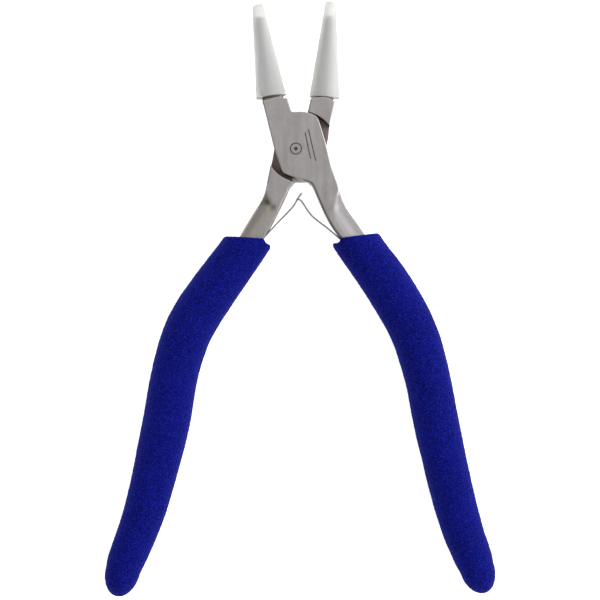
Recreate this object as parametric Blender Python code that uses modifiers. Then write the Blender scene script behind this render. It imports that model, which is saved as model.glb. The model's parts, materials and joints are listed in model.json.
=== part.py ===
# Round nose pliers with nylon jaw sleeves, double leaf return springs and foam grips.
# Metres, +Z up. The pliers lie on their side: the hinge axis is vertical, the jaws point
# along +Y and the handles along -Y. The origin is the middle of the underside of the
# whole object, so z = 0 is the surface that the grips lie on.
#
# The plan below is drawn in millimetres from the hinge axis (x right, y towards the jaws)
# with z measured from the parting plane between the two laps.

import math

import bpy
import bmesh
from mathutils import Matrix, Vector

# ---- driving dimensions -----------------------------------------------------------
MM = 0.001
PIVOT_Y = 39.2 * MM          # hinge axis, from the middle of the overall length
PIVOT_Z = 6.0 * MM          # parting plane above the surface the grips lie on
HALF_T = 4.5                 # half of the joint's ground thickness
LAP_GAP = 0.15               # each lap stands this far off the parting plane
PLATE_R_UP = 9.15            # lap plate, end towards the jaws
PLATE_R_DOWN = 8.05          # lap plate, end towards the handles
SHOULDER_R_UP = 9.55         # mating shoulder on the other lever
SHOULDER_R_DOWN = 8.7
RIVET_R = 2.9                # hinge rivet
RIVET_HEAD_R = 4.3           # its countersunk head, ground flush on the back
RIVET_HEAD_H = 1.3
RIVET_CLEAR = 0.08
BLIND_DEPTH = 3.3            # blind bore in the front lap that holds the rivet
SLEEVE_LEN = 24.0            # nylon sleeve, the length over which it tapers
FRONT_SLEEVE_TOP = 24.4      # its flat end, from the base, on each jaw
BACK_SLEEVE_TOP = 24.85
SLEEVE_BASE_R = 3.95
SLEEVE_TIP_R = 1.5
CORE_BASE_R = 2.35           # steel jaw inside the sleeve
CORE_TIP_R = 0.9
CORE_LEN = 21.0
SLEEVE_CLEAR = 0.3
LEAF_T = 0.45                # leaf spring
LEAF_W = 4.2
TONGUE_W = 1.7               # narrow end of the front leaf, in the slot of the back leaf
SLOT_W = 2.4
SLOT_LEN = 1.95
SPRING_RIVET_R = 0.8
SPRING_HEAD_R = 1.25
GRIP_SIDES = 28

# jaw axes: base centre of the sleeve and lean from +Y, positive to the right
FRONT_JAW = ((-7.44, 13.45), -8.4)
BACK_JAW = ((6.36, 13.45), 3.9)

# levers: pairs of points across the lever from the jaw end to the tang's end, each with
# the half height and the squareness of the section there (2 is an ellipse)
FRONT_LEVER = [
    ((-9.62, 12.32), (3.3, 14.32), 5.2, 12), ((-8.19, 6.55), (4.94, 7.54), 5.2, 12),
    ((-6.79, 0.78), (6.73, 1.2), 5.2, 12), ((-6.11, -1.61), (7.35, -1.5), 5.2, 12),
    ((-4.5, -6.27), (8.62, -6.3), 5.2, 12), ((-2.6, -9.6), (9.55, -9.6), 5.2, 9),
    ((3.0, -11.3), (10.05, -11.9), 5.0, 6), ((5.1, -14.9), (11.05, -14.4), 4.7, 4),
    ((7.5, -18.7), (13.1, -17.2), 4.25, 3.2), ((9.7, -21.4), (14.8, -19.6), 3.9, 2.8),
    ((11.35, -23.3), (16.1, -21.3), 3.6, 2.6), ((13.0, -25.6), (17.0, -22.6), 3.4, 2.5),
    ((15.45, -29.05), (19.45, -26.05), 3.2, 2.5), ((20.4, -36.4), (24.2, -33.6), 3.1, 2.5),
    ((26.05, -46.0), (29.95, -44.0), 3.0, 2.4), ((30.2, -56.6), (34.2, -55.4), 2.9, 2.4),
    ((33.0, -71.3), (37.0, -70.7), 2.7, 2.3), ((35.7, -83.2), (39.3, -82.5), 2.4, 2.2),
    ((38.1, -91.6), (41.2, -90.8), 2.0, 2.0),
]
BACK_LEVER = [
    ((-3.6, 13.85), (9.13, 12.2), 5.2, 12), ((-5.4, 7.2), (7.72, 5.9), 5.2, 12),
    ((-6.5, 1.0), (7.0, 1.3), 5.2, 12), ((-6.8, -1.0), (6.3, -1.4), 5.2, 12),
    ((-7.6, -5.4), (5.0, -6.0), 5.2, 12), ((-8.35, -9.3), (3.0, -9.8), 5.2, 9),
    ((-9.0, -12.0), (-2.6, -12.0), 5.0, 6), ((-10.3, -14.6), (-4.5, -15.3), 4.7, 4),
    ((-12.4, -17.6), (-6.75, -19.0), 4.25, 3.2), ((-14.0, -20.0), (-9.0, -21.7), 3.9, 2.8),
    ((-15.3, -21.9), (-10.95, -23.7), 3.6, 2.6), ((-16.45, -24.1), (-12.35, -26.4), 3.4, 2.5),
    ((-18.7, -27.4), (-14.7, -30.0), 3.2, 2.5), ((-23.6, -34.2), (-19.9, -36.9), 3.1, 2.5),
    ((-29.5, -44.2), (-25.7, -46.2), 3.0, 2.4), ((-33.7, -55.6), (-29.8, -56.8), 2.9, 2.4),
    ((-36.6, -70.9), (-32.7, -71.5), 2.7, 2.3), ((-39.0, -82.6), (-35.4, -83.4), 2.4, 2.2),
    ((-41.1, -90.8), (-38.1, -91.6), 2.0, 2.0),
]

# inner edges of the shank and of the handle, where the waist of each lever is cut in
FRONT_SHANK_INNER = [(-3.2, 13.3), (-2.85, 11.2), (-2.45, 9.6)]
FRONT_HANDLE_INNER = [(3.15, -9.2), (3.9, -10.6), (5.54, -14.85), (7.33, -18.4)]
BACK_SHANK_INNER = [(2.94, 13.0), (2.5, 11.2), (2.2, 9.6)]
BACK_HANDLE_INNER = [(-2.3, -9.1), (-3.5, -12.0), (-5.2, -15.9), (-6.6, -18.5)]

# leaf springs, from the end inside the grip to the free end
FRONT_LEAF = [(16.9, -32.1), (15.0, -29.3), (12.55, -25.9), (10.75, -23.6), (7.33, -20.6),
              (4.9, -18.75), (3.4, -17.5), (2.5, -16.5), (1.7, -15.35), (1.0, -14.25),
              (0.4, -13.42), (0.1, -13.14), (-0.25, -13.0), (-0.85, -12.8)]
BACK_LEAF = [(-16.2, -32.9), (-14.2, -30.4), (-12.0, -26.9), (-10.45, -24.3), (-7.7, -21.15),
             (-5.3, -18.6), (-3.7, -16.98), (-2.0, -15.15), (-1.3, -14.15), (-0.72, -13.12),
             (-0.2, -12.25), (0.52, -11.38)]
CROSSING = (-0.6, -12.9)     # where the front leaf's tongue sits in the back leaf's slot
FRONT_RIVET_AT = (15.0, -29.3)
BACK_RIVET_AT = (-14.2, -30.4)

# grips: centreline and radius from beyond the mouth to the middle of the round end
FRONT_GRIP = [
    (11.85, -19.3, 5.8), (14.9, -24.1, 5.9), (18.0, -28.45, 5.95), (20.3, -31.65, 6.05),
    (22.5, -34.75, 6.15), (24.5, -37.95, 6.2), (26.4, -41.1, 6.2), (28.1, -44.2, 6.15),
    (29.5, -47.3, 6.1), (30.75, -50.55, 6.1), (32.4, -56.2, 5.95), (33.7, -61.6, 5.9),
    (34.85, -67.8, 5.9), (36.1, -74, 5.85), (37.5, -80.2, 5.7), (38.95, -86.6, 5.65),
    (40.65, -93.2, 5.5), (42.5, -99.35, 5.3), (44.25, -104.1, 5.05), (45.2, -106.8, 4.85),
    (45.75, -108.8, 4.6),
]
BACK_GRIP = [
    (10.55, -19.5, 5.7), (13.65, -24.3, 5.8), (16.8, -28.75, 5.9), (19.2, -32.05, 6.05),
    (21.5, -35.2, 6.15), (23.7, -38.35, 6.25), (25.8, -41.45, 6.3), (27.7, -44.6, 6.3),
    (29.25, -47.7, 6.25), (30.45, -50.95, 6.2), (32.0, -56.2, 6.1), (33.15, -61.6, 6.1),
    (34.15, -67.8, 6.15), (35.35, -74, 6.1), (36.8, -80.2, 5.9), (38.3, -86.6, 5.65),
    (40.1, -93.2, 5.45), (42.1, -99.1, 5.2), (44.0, -103.9, 5.0), (45.25, -107.0, 4.8),
    (46.0, -109.5, 4.5),
]
GRIP_R_MAX = 6.3
GRIP_FLAT = PIVOT_Z / MM / GRIP_R_MAX      # the foam is a little lower than it is wide
END_STRETCH = 1.5            # the round end is longer than a half ball
# mouth: the oblique cut runs from the outer corner to the inner one, with a round
# notch at the inner corner where the leaf comes out, given by its centre and radius
FRONT_MOUTH = ((19.55, -21.85), (8.2, -23.5))
BACK_MOUTH = ((-19.06, -22.6), (-7.6, -23.4))
FRONT_NOTCH = ((9.2, -22.95), 1.45)
BACK_NOTCH = ((-7.4, -22.9), 1.9)
# bore of the grip: offset towards the inner side, half width, half height
BORE = [(0.35, 3.45, 3.75), (0.75, 3.75, 3.75), (0.0, 3.1, 3.55), (0.0, 2.9, 3.3)]


# ---- helpers ----------------------------------------------------------------------
for old in list(bpy.data.objects):
    bpy.data.objects.remove(old, do_unlink=True)

parts = bpy.data.collections.new("round_nose_pliers")
cutters = bpy.data.collections.new("cutters")
bpy.context.scene.collection.children.link(parts)
bpy.context.scene.collection.children.link(cutters)

hinge = bpy.data.objects.new("hinge_axis", None)
hinge.location = (0, PIVOT_Y, PIVOT_Z)
parts.objects.link(hinge)
front_hinge = bpy.data.objects.new("front_lever_axis", None)
front_hinge.parent = hinge
parts.objects.link(front_hinge)
bpy.context.view_layer.update()


def material(name, colour, rough, metal, alpha=1.0):
    m = bpy.data.materials.new(name)
    m.use_nodes = True
    p = m.node_tree.nodes["Principled BSDF"]
    p.inputs["Base Color"].default_value = (*colour, 1)
    p.inputs["Roughness"].default_value = rough
    p.inputs["Metallic"].default_value = metal
    p.inputs["Alpha"].default_value = alpha
    return m


def link(obj, mat=None, parent=None, cutter=False):
    (cutters if cutter else parts).objects.link(obj)
    obj.parent = parent or hinge
    if cutter:
        obj.hide_render = True
        obj.display_type = "WIRE"
    if mat:
        obj.data.materials.clear()
        obj.data.materials.append(mat)
    return obj


def smooth_points(points, per):
    """Points along a Catmull-Rom curve through tuples of any length."""
    out = []
    n = len(points)
    for i in range(n - 1):
        p0, p1 = points[max(i - 1, 0)], points[i]
        p2, p3 = points[i + 1], points[min(i + 2, n - 1)]
        for k in range(per):
            t = k / per
            out.append(tuple(
                0.5 * (2 * b + (c - a) * t + (2 * a - 5 * b + 4 * c - d) * t * t
                       + (3 * b - a - 3 * c + d) * t ** 3)
                for a, b, c, d in zip(p0, p1, p2, p3)))
    out.append(tuple(points[-1]))
    return out


def mesh_object(name, verts, faces):
    me = bpy.data.meshes.new(name)
    bm = bmesh.new()
    vs = [bm.verts.new(Vector(v) * MM) for v in verts]
    for f in faces:
        bm.faces.new([vs[i] for i in f])
    bmesh.ops.recalc_face_normals(bm, faces=bm.faces)
    bm.to_mesh(me)
    bm.free()
    return bpy.data.objects.new(name, me)


def loft(name, rings):
    """A closed body through rings of equal size."""
    n = len(rings[0])
    verts = [v for ring in rings for v in ring]
    faces = []
    for r in range(len(rings) - 1):
        for i in range(n):
            j = (i + 1) % n
            faces.append((r * n + i, r * n + j, (r + 1) * n + j, (r + 1) * n + i))
    faces.append(tuple(range(n)))
    faces.append(tuple((len(rings) - 1) * n + i for i in range(n)))
    return mesh_object(name, verts, faces)


def section(left, right, half_h, square, count):
    """A superellipse ring across the plan from left to right."""
    mx, my = (left[0] + right[0]) / 2, (left[1] + right[1]) / 2
    ax, ay = (right[0] - left[0]) / 2, (right[1] - left[1]) / 2
    ring = []
    for k in range(count):
        a = 2 * math.pi * k / count
        c, s = math.cos(a), math.sin(a)
        u = math.copysign(abs(c) ** (2 / square), c)
        w = math.copysign(abs(s) ** (2 / square), s)
        ring.append((mx + ax * u, my + ay * u, half_h * w))
    return ring


def outline(name, points, z0, z1, cutter=True):
    """A flat outline, extruded from z0 to z1, made a mesh."""
    cu = bpy.data.curves.new(name, "CURVE")
    cu.dimensions = "2D"
    cu.fill_mode = "BOTH"
    cu.extrude = (z1 - z0) / 2 * MM
    sp = cu.splines.new("POLY")
    sp.points.add(len(points) - 1)
    for p, (x, y) in zip(sp.points, points):
        p.co = (x * MM, y * MM, 0, 1)
    sp.use_cyclic_u = True
    tmp = bpy.data.objects.new(name + "_curve", cu)
    bpy.context.scene.collection.objects.link(tmp)
    tmp.location = (0, 0, (z0 + z1) / 2 * MM)
    bpy.context.view_layer.update()
    dg = bpy.context.evaluated_depsgraph_get()
    me = bpy.data.meshes.new_from_object(tmp.evaluated_get(dg))
    bm = bmesh.new()
    bm.from_mesh(me)
    bmesh.ops.remove_doubles(bm, verts=bm.verts, dist=1e-6)
    bmesh.ops.recalc_face_normals(bm, faces=bm.faces)
    bmesh.ops.transform(bm, matrix=tmp.matrix_world, verts=bm.verts)
    bm.to_mesh(me)
    bm.free()
    bpy.data.objects.remove(tmp, do_unlink=True)
    obj = bpy.data.objects.new(name, me)
    return link(obj, cutter=cutter)


def arc(r, a0, a1, count):
    """Points on a circle about the hinge, angles in degrees from +X."""
    return [(r * math.cos(math.radians(a0 + (a1 - a0) * k / count)),
             r * math.sin(math.radians(a0 + (a1 - a0) * k / count))) for k in range(count + 1)]


def boolean(obj, other, kind):
    m = obj.modifiers.new(kind.lower(), "BOOLEAN")
    m.operation = kind
    m.solver = "EXACT"
    m.object = other
    return m


def turned(name, profile, steps):
    """A profile of (radius, height) turned about Z; it runs down the outer side."""
    me = bpy.data.meshes.new(name)
    bm = bmesh.new()
    vs = [bm.verts.new((r * MM, 0, z * MM)) for r, z in profile]
    for a, b in zip(vs, vs[1:]):
        bm.edges.new((a, b))
    bm.to_mesh(me)
    bm.free()
    obj = bpy.data.objects.new(name, me)
    m = obj.modifiers.new("turn", "SCREW")
    m.axis = "Z"
    m.steps = steps
    m.render_steps = steps
    m.use_merge_vertices = True
    m.merge_threshold = 0.00001
    return obj


def cylinder(name, r, z0, z1, at=(0, 0), steps=48):
    me = bpy.data.meshes.new(name)
    bm = bmesh.new()
    bmesh.ops.create_cone(bm, cap_ends=True, segments=steps, radius1=r * MM, radius2=r * MM,
                          depth=(z1 - z0) * MM)
    bmesh.ops.translate(bm, verts=bm.verts,
                        vec=(at[0] * MM, at[1] * MM, (z0 + z1) / 2 * MM))
    bm.to_mesh(me)
    bm.free()
    return link(bpy.data.objects.new(name, me), cutter=True)


def shade(obj):
    obj.data.shade_smooth()
    obj.data.set_sharp_from_angle(angle=math.radians(35))


def along(jaw):
    """The frame of a jaw: its base centre, with local +Z out along the jaw."""
    (x, y), lean = jaw
    turn = Matrix.Rotation(math.radians(-lean), 4, "Z") @ Matrix.Rotation(math.radians(-90), 4, "X")
    return Matrix.Translation((x * MM, y * MM, 0)) @ turn


# ---- materials --------------------------------------------------------------------
steel = material("brushed_steel", (0.32, 0.31, 0.305), 0.32, 1.0)
spring_steel = material("spring_steel", (0.30, 0.28, 0.26), 0.35, 1.0)
rivet_steel = material("rivet_steel", (0.36, 0.35, 0.34), 0.28, 1.0)
nylon = material("nylon", (0.80, 0.80, 0.77), 0.42, 0.0, 0.85)
foam = material("blue_foam", (0.006, 0.006, 0.27), 0.85, 0.0)


# ---- levers -----------------------------------------------------------------------
def lever(name, stations, jaw, shank_inner, handle_inner, top_lap, side, parent):
    """One forged lever. side is +1 where the handle is on the right."""
    flat = [(*l, *r, h, sq) for l, r, h, sq in stations]
    fine = smooth_points(flat, 2)
    rings = [section(f[0:2], f[2:4], f[4], f[5], 24) for f in fine]
    body = link(loft(name, rings), steel, parent)

    # both broad faces are ground flat
    slab = outline(name + "_ground", [(-70, -130), (70, -130), (70, 60), (-70, 60)],
                   -HALF_T, HALF_T)
    boolean(body, slab, "INTERSECT")

    # waist: the jaw side of the lap plate, round the hinge, then out along the shank
    top = arc(PLATE_R_UP, 90 - side * 60, 90 + side * 10, 14)
    waist = top + [p for p in reversed(shank_inner)]
    end = shank_inner[0]
    waist += [(end[0] - 0.4 * side, 18), (side * 14, 18), (side * 14, 5)]
    boolean(body, outline(name + "_throat", waist, -6, 6), "DIFFERENCE")

    # the handle side of the lap plate, then out along the handle
    low = arc(PLATE_R_DOWN, 270 - side * 45, 270 + side * 14, 14)
    crotch = low + list(handle_inner)
    end = handle_inner[-1]
    crotch += [(end[0] - side * 1.5, end[1] - 1.2), (-side * 8, -22), (-side * 14, -12),
               (-side * 12, -7.6)]
    boolean(body, outline(name + "_crotch", crotch, -6, 6), "DIFFERENCE")

    # the lap: half the thickness is milled away about the hinge for the other lever
    z0, z1 = (-6, LAP_GAP) if top_lap else (-LAP_GAP, 6)
    up = arc(SHOULDER_R_UP, -8, 188, 56)
    boolean(body, outline(name + "_lap_up", up, z0, z1), "DIFFERENCE")
    boolean(body, cylinder(name + "_lap", SHOULDER_R_DOWN, z0, z1, steps=64), "DIFFERENCE")

    # the round jaw, a steel cone that starts inside the shank
    core = turned(name + "_jaw", [(0, CORE_LEN), (CORE_TIP_R * 0.72, CORE_LEN - 0.08),
                                  (CORE_TIP_R, CORE_LEN - 0.5), (CORE_BASE_R, 0.0),
                                  (CORE_BASE_R, -1.2), (0, -1.2)], 24)
    link(core, cutter=True)
    core.matrix_local = along(jaw)
    boolean(body, core, "UNION")
    return body


front = lever("front_lever", FRONT_LEVER, FRONT_JAW, FRONT_SHANK_INNER, FRONT_HANDLE_INNER,
              True, 1, front_hinge)
back = lever("back_lever", BACK_LEVER, BACK_JAW, BACK_SHANK_INNER, BACK_HANDLE_INNER,
             False, -1, hinge)

# blind bore in the front lap, through bore with a countersink in the back lap
boolean(front, cylinder("front_bore", RIVET_R + RIVET_CLEAR, -1, BLIND_DEPTH + 0.1),
        "DIFFERENCE")
boolean(back, cylinder("back_bore", RIVET_R + RIVET_CLEAR, -6, 1), "DIFFERENCE")
sink = turned("back_countersink", [
    (0, -HALF_T + RIVET_HEAD_H + RIVET_CLEAR),
    (RIVET_R, -HALF_T + RIVET_HEAD_H + RIVET_CLEAR),
    (RIVET_HEAD_R + RIVET_CLEAR, -HALF_T), (RIVET_HEAD_R + RIVET_CLEAR, -HALF_T - 1),
    (0, -HALF_T - 1)], 48)
link(sink, cutter=True)
boolean(back, sink, "DIFFERENCE")

rivet = turned("pivot_rivet", [
    (0, BLIND_DEPTH), (RIVET_R - 0.3, BLIND_DEPTH), (RIVET_R, BLIND_DEPTH - 0.3),
    (RIVET_R, -HALF_T + RIVET_HEAD_H - 0.1), (RIVET_HEAD_R - 0.05, -HALF_T), (0, -HALF_T)], 48)
link(rivet, rivet_steel, front_hinge)

# ---- nylon sleeves ----------------------------------------------------------------
slope = (SLEEVE_BASE_R - SLEEVE_TIP_R) / SLEEVE_LEN
core_slope = (CORE_BASE_R - CORE_TIP_R) / CORE_LEN


def sleeve(name, jaw, top, parent):
    tip_r = SLEEVE_BASE_R - slope * top
    outer = [(0, top), (tip_r - 0.28, top), (tip_r - 0.08, top - 0.08), (tip_r, top - 0.28),
             (SLEEVE_BASE_R - slope * 0.3, 0.3), (SLEEVE_BASE_R - 0.1, 0.1),
             (SLEEVE_BASE_R - 0.25, 0)]
    bore_r = CORE_BASE_R + SLEEVE_CLEAR
    inner = [(bore_r, 0), (CORE_TIP_R + SLEEVE_CLEAR, CORE_LEN - 0.3),
             (0.55, CORE_LEN + 0.3), (0, CORE_LEN + 0.35)]
    obj = turned(name, outer + inner, 28)
    link(obj, nylon, parent)
    obj.matrix_local = along(jaw)
    return obj


sleeve("front_jaw_sleeve", FRONT_JAW, FRONT_SLEEVE_TOP, front_hinge)
sleeve("back_jaw_sleeve", BACK_JAW, BACK_SLEEVE_TOP, hinge)


# ---- leaf springs -----------------------------------------------------------------
def ribbon(points, thick):
    """The closed outline of a band of even thickness about a line."""
    a, b = [], []
    for i, p in enumerate(points):
        q0, q1 = points[max(i - 1, 0)], points[min(i + 1, len(points) - 1)]
        dx, dy = q1[0] - q0[0], q1[1] - q0[1]
        d = math.hypot(dx, dy)
        nx, ny = -dy / d * thick / 2, dx / d * thick / 2
        a.append((p[0] + nx, p[1] + ny))
        b.append((p[0] - nx, p[1] - ny))
    return a + b[::-1]


def frame_at(points, at):
    """Unit direction of the line at its point nearest to at."""
    i = min(range(1, len(points) - 1),
            key=lambda k: math.dist(points[k], at))
    dx, dy = points[i + 1][0] - points[i - 1][0], points[i + 1][1] - points[i - 1][1]
    d = math.hypot(dx, dy)
    return dx / d, dy / d


def box(name, at, direction, long, across, z0, z1):
    """A cutter box in the plan, long along direction."""
    ux, uy = direction
    vx, vy = -uy, ux
    pts = [(at[0] + ux * a + vx * b, at[1] + uy * a + vy * b)
           for a, b in ((-long / 2, -across / 2), (long / 2, -across / 2),
                        (long / 2, across / 2), (-long / 2, across / 2))]
    return outline(name, pts, z0, z1)


def rod(name, at, direction, r, long, steps=20):
    """A cutter pin lying in the plan, centred at a point of the plan."""
    me = bpy.data.meshes.new(name)
    bm = bmesh.new()
    bmesh.ops.create_cone(bm, cap_ends=True, segments=steps, radius1=r * MM,
                          radius2=r * MM, depth=long * MM)
    bm.to_mesh(me)
    bm.free()
    obj = link(bpy.data.objects.new(name, me), cutter=True)
    z = Vector((direction[0], direction[1], 0))
    obj.matrix_local = (Matrix.Translation((at[0] * MM, at[1] * MM, 0))
                        @ z.to_track_quat("Z", "Y").to_matrix().to_4x4())
    return obj


front_line = smooth_points(FRONT_LEAF, 4)
back_line = smooth_points(BACK_LEAF, 4)
front_leaf = outline("front_leaf_spring", ribbon(front_line, LEAF_T), -LEAF_W / 2, LEAF_W / 2,
                     cutter=False)
back_leaf = outline("back_leaf_spring", ribbon(back_line, LEAF_T), -LEAF_W / 2, LEAF_W / 2,
                    cutter=False)
for leaf, parent in ((front_leaf, front_hinge), (back_leaf, hinge)):
    leaf.parent = parent
    leaf.data.materials.append(spring_steel)

# slot near the free end of the back leaf, tongue at the free end of the front leaf
slot_dir = frame_at(back_line, CROSSING)
slot_at = (CROSSING[0] + 0.22 * slot_dir[0], CROSSING[1] + 0.22 * slot_dir[1])
boolean(back_leaf, box("leaf_slot", slot_at, slot_dir, SLOT_LEN, 2.4,
                       -SLOT_W / 2, SLOT_W / 2), "DIFFERENCE")
tongue_dir = frame_at(front_line, CROSSING)
tongue_at = (CROSSING[0] + 1.3 * tongue_dir[0], CROSSING[1] + 1.3 * tongue_dir[1])
for k, (z0, z1) in enumerate(((TONGUE_W / 2, 4), (-4, -TONGUE_W / 2))):
    boolean(front_leaf, box(f"leaf_tongue_{k}", tongue_at, tongue_dir, 4.8, 4.0, z0, z1),
            "DIFFERENCE")


# rivets that hold the leaves to the tangs, inside the grips
def spring_rivet(name, leaf, lever_obj, line, at, sign, parent):
    ux, uy = frame_at(line, at)
    inward = (sign * -abs(uy), -abs(ux))      # from the tang through the leaf
    boolean(leaf, rod(name + "_leaf_hole", at, inward, SPRING_RIVET_R + 0.1, 4), "DIFFERENCE")
    hole_at = (at[0] - inward[0] * 1.7, at[1] - inward[1] * 1.7)
    boolean(lever_obj, rod(name + "_tang_hole", hole_at, inward, SPRING_RIVET_R + 0.1, 3.0),
            "DIFFERENCE")
    head0 = LEAF_T / 2 + 0.3
    obj = turned(name, [(0, head0 + 0.55), (0.7, head0 + 0.5), (SPRING_HEAD_R - 0.1, head0 + 0.3),
                        (SPRING_HEAD_R, head0), (SPRING_RIVET_R, head0),
                        (SPRING_RIVET_R, -2.9), (0, -2.9)], 20)
    link(obj, rivet_steel, parent)
    z = Vector((inward[0], inward[1], 0))
    obj.matrix_local = (Matrix.Translation((at[0] * MM, at[1] * MM, 0))
                        @ z.to_track_quat("Z", "Y").to_matrix().to_4x4())
    return obj


spring_rivet("front_spring_rivet", front_leaf, front, front_line, FRONT_RIVET_AT, 1,
             front_hinge)
spring_rivet("back_spring_rivet", back_leaf, back, back_line, BACK_RIVET_AT, -1, hinge)


# ---- foam grips -------------------------------------------------------------------
def grip(name, sign, line, stations, mouth_line, notch, parent):
    rings = []

    def ring(i, scale, push):
        x, y, r = line[i]
        x0, y0, _ = line[max(i - 1, 0)]
        x1, y1, _ = line[min(i + 1, len(line) - 1)]
        d = math.hypot(x1 - x0, y1 - y0)
        tx, ty = (x1 - x0) / d, (y1 - y0) / d
        nx, ny = -ty, tx
        out = []
        for k in range(GRIP_SIDES):
            a = 2 * math.pi * k / GRIP_SIDES
            out.append((sign * (x + tx * push + nx * r * scale * math.cos(a)),
                        y + ty * push + ny * r * scale * math.cos(a),
                        r * scale * math.sin(a) * GRIP_FLAT))
        return out

    for i in range(len(line)):
        rings.append(ring(i, 1, 0))
    last = len(line) - 1
    for k in range(1, 6):
        a = math.radians(16.5 * k)
        rings.append(ring(last, math.cos(a), line[last][2] * math.sin(a) * END_STRETCH))
    obj = link(loft(name, rings), foam, parent)

    # bore for the tang and the leaf, open at the mouth and blind at the end
    fine = smooth_points([(*l, *r, h, sq) for l, r, h, sq in stations[8:]], 2)
    bore = []
    for i, f in enumerate(fine):
        (lx, ly), (rx, ry) = f[0:2], f[2:4]
        s = i / (len(fine) - 1) * (len(stations) - 9)      # station number along the tang
        if s < 1.5:
            off, a, h = BORE[0]
        elif s < 4.6:
            off, a, h = BORE[1]
        elif s < 6.5:
            off, a, h = BORE[2]
        else:
            off, a, h = BORE[3]
        mx, my = (lx + rx) / 2, (ly + ry) / 2
        d = math.hypot(rx - lx, ry - ly)
        ux, uy = (rx - lx) / d, (ry - ly) / d
        if sign > 0:
            ux, uy = -ux, -uy                                 # now towards the inner side
        mx, my = mx + ux * off, my + uy * off
        bore.append(section((mx - ux * a, my - uy * a), (mx + ux * a, my + uy * a), h, 3.6, 24))
    dx, dy = fine[-1][0] - fine[-2][0], fine[-1][1] - fine[-2][1]
    d = math.hypot(dx, dy)
    bore.append([(x + dx / d * 0.8, y + dy / d * 0.8, z) for x, y, z in bore[-1]])
    hole = link(loft(name + "_bore", bore), cutter=True)
    boolean(obj, hole, "DIFFERENCE")

    # oblique mouth with a round notch where the leaf comes out
    (ox, oy), (ix, iy) = mouth_line
    k = (oy - iy) / (ox - ix)
    far, near = ox + sign * 6, ix - sign * 6
    mouth = [(near, iy + k * (near - ix)), (far, oy + k * (far - ox)), (far, -8), (near, -8)]
    boolean(obj, outline(name + "_mouth", mouth, -9, 9), "DIFFERENCE")
    boolean(obj, cylinder(name + "_notch", notch[1], -9, 9, notch[0], 24), "DIFFERENCE")
    return obj


grip("front_grip", 1, FRONT_GRIP, FRONT_LEVER, FRONT_MOUTH, FRONT_NOTCH, front_hinge)
grip("back_grip", -1, BACK_GRIP, BACK_LEVER, BACK_MOUTH, BACK_NOTCH, hinge)

for o in parts.objects:
    if o.type == "MESH":
        shade(o)
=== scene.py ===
import json
import math

import bpy
import bmesh
import numpy as np
from mathutils import Matrix, Vector

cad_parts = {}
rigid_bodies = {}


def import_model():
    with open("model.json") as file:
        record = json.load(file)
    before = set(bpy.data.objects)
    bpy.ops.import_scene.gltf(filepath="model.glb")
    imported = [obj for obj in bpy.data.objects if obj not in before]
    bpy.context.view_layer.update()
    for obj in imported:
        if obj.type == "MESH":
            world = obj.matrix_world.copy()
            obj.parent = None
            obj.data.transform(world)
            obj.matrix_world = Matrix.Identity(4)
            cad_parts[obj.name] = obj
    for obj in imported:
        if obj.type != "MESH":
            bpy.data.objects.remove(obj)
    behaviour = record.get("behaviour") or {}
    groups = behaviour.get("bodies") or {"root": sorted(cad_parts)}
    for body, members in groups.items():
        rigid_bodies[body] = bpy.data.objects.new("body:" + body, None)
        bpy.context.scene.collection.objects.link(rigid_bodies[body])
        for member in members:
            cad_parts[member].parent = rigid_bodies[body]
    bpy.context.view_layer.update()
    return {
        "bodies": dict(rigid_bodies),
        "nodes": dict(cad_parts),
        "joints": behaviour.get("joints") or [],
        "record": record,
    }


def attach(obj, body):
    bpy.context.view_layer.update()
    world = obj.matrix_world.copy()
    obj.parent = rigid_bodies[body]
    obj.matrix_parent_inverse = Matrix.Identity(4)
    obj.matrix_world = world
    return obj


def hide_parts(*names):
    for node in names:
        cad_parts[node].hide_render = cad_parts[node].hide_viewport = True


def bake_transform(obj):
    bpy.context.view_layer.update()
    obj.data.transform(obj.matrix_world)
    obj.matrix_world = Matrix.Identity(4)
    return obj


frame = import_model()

# ---- frame ------------------------------------------------------------------------
# Everything below is drawn in millimetres from the hinge axis, with z from the parting
# plane between the laps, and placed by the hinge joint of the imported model.
HINGE = next(j for j in frame["joints"] if j["name"] == "pliers_hinge")
OX, OY, OZ = HINGE["pos_m"]
MM = 0.001


def world(points):
    return np.asarray(points, float) * MM + np.array((OX, OY, OZ))


# ---- small mesh tools ---------------------------------------------------------------
def add_object(name, verts_mm, faces, smooth=True, in_world=True):
    me = bpy.data.meshes.new(name)
    v = world(verts_mm) if in_world else np.asarray(verts_mm, float)
    f = np.asarray(faces) if not isinstance(faces, list) else None
    if f is not None and f.ndim == 2:
        n, k = f.shape
        me.vertices.add(len(v))
        me.vertices.foreach_set("co", v.astype(np.float32).ravel())
        me.loops.add(n * k)
        me.loops.foreach_set("vertex_index", f.astype(np.int32).ravel())
        me.polygons.add(n)
        me.polygons.foreach_set("loop_start", np.arange(0, n * k, k, dtype=np.int32))
        me.update(calc_edges=True)
    else:
        me.from_pydata([tuple(p) for p in v], [], [tuple(int(i) for i in q) for q in faces])
        me.update()
    me.validate()
    if smooth:
        me.shade_smooth()
    ob = bpy.data.objects.new(name, me)
    bpy.context.scene.collection.objects.link(ob)
    return ob


def attribute(ob, name, values):
    a = ob.data.attributes.new(name, "FLOAT", "POINT")
    a.data.foreach_set("value", np.asarray(values, np.float32))


def curve_through(points, per):
    """Points along a Catmull-Rom curve through rows of any length."""
    p = np.asarray(points, float)
    n = len(p)
    out = []
    for i in range(n - 1):
        a, b, c, d = p[max(i - 1, 0)], p[i], p[i + 1], p[min(i + 2, n - 1)]
        for k in range(per):
            t = k / per
            out.append(0.5 * (2 * b + (c - a) * t + (2 * a - 5 * b + 4 * c - d) * t * t
                              + (3 * b - a - 3 * c + d) * t ** 3))
    out.append(p[-1])
    return np.array(out)


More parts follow.
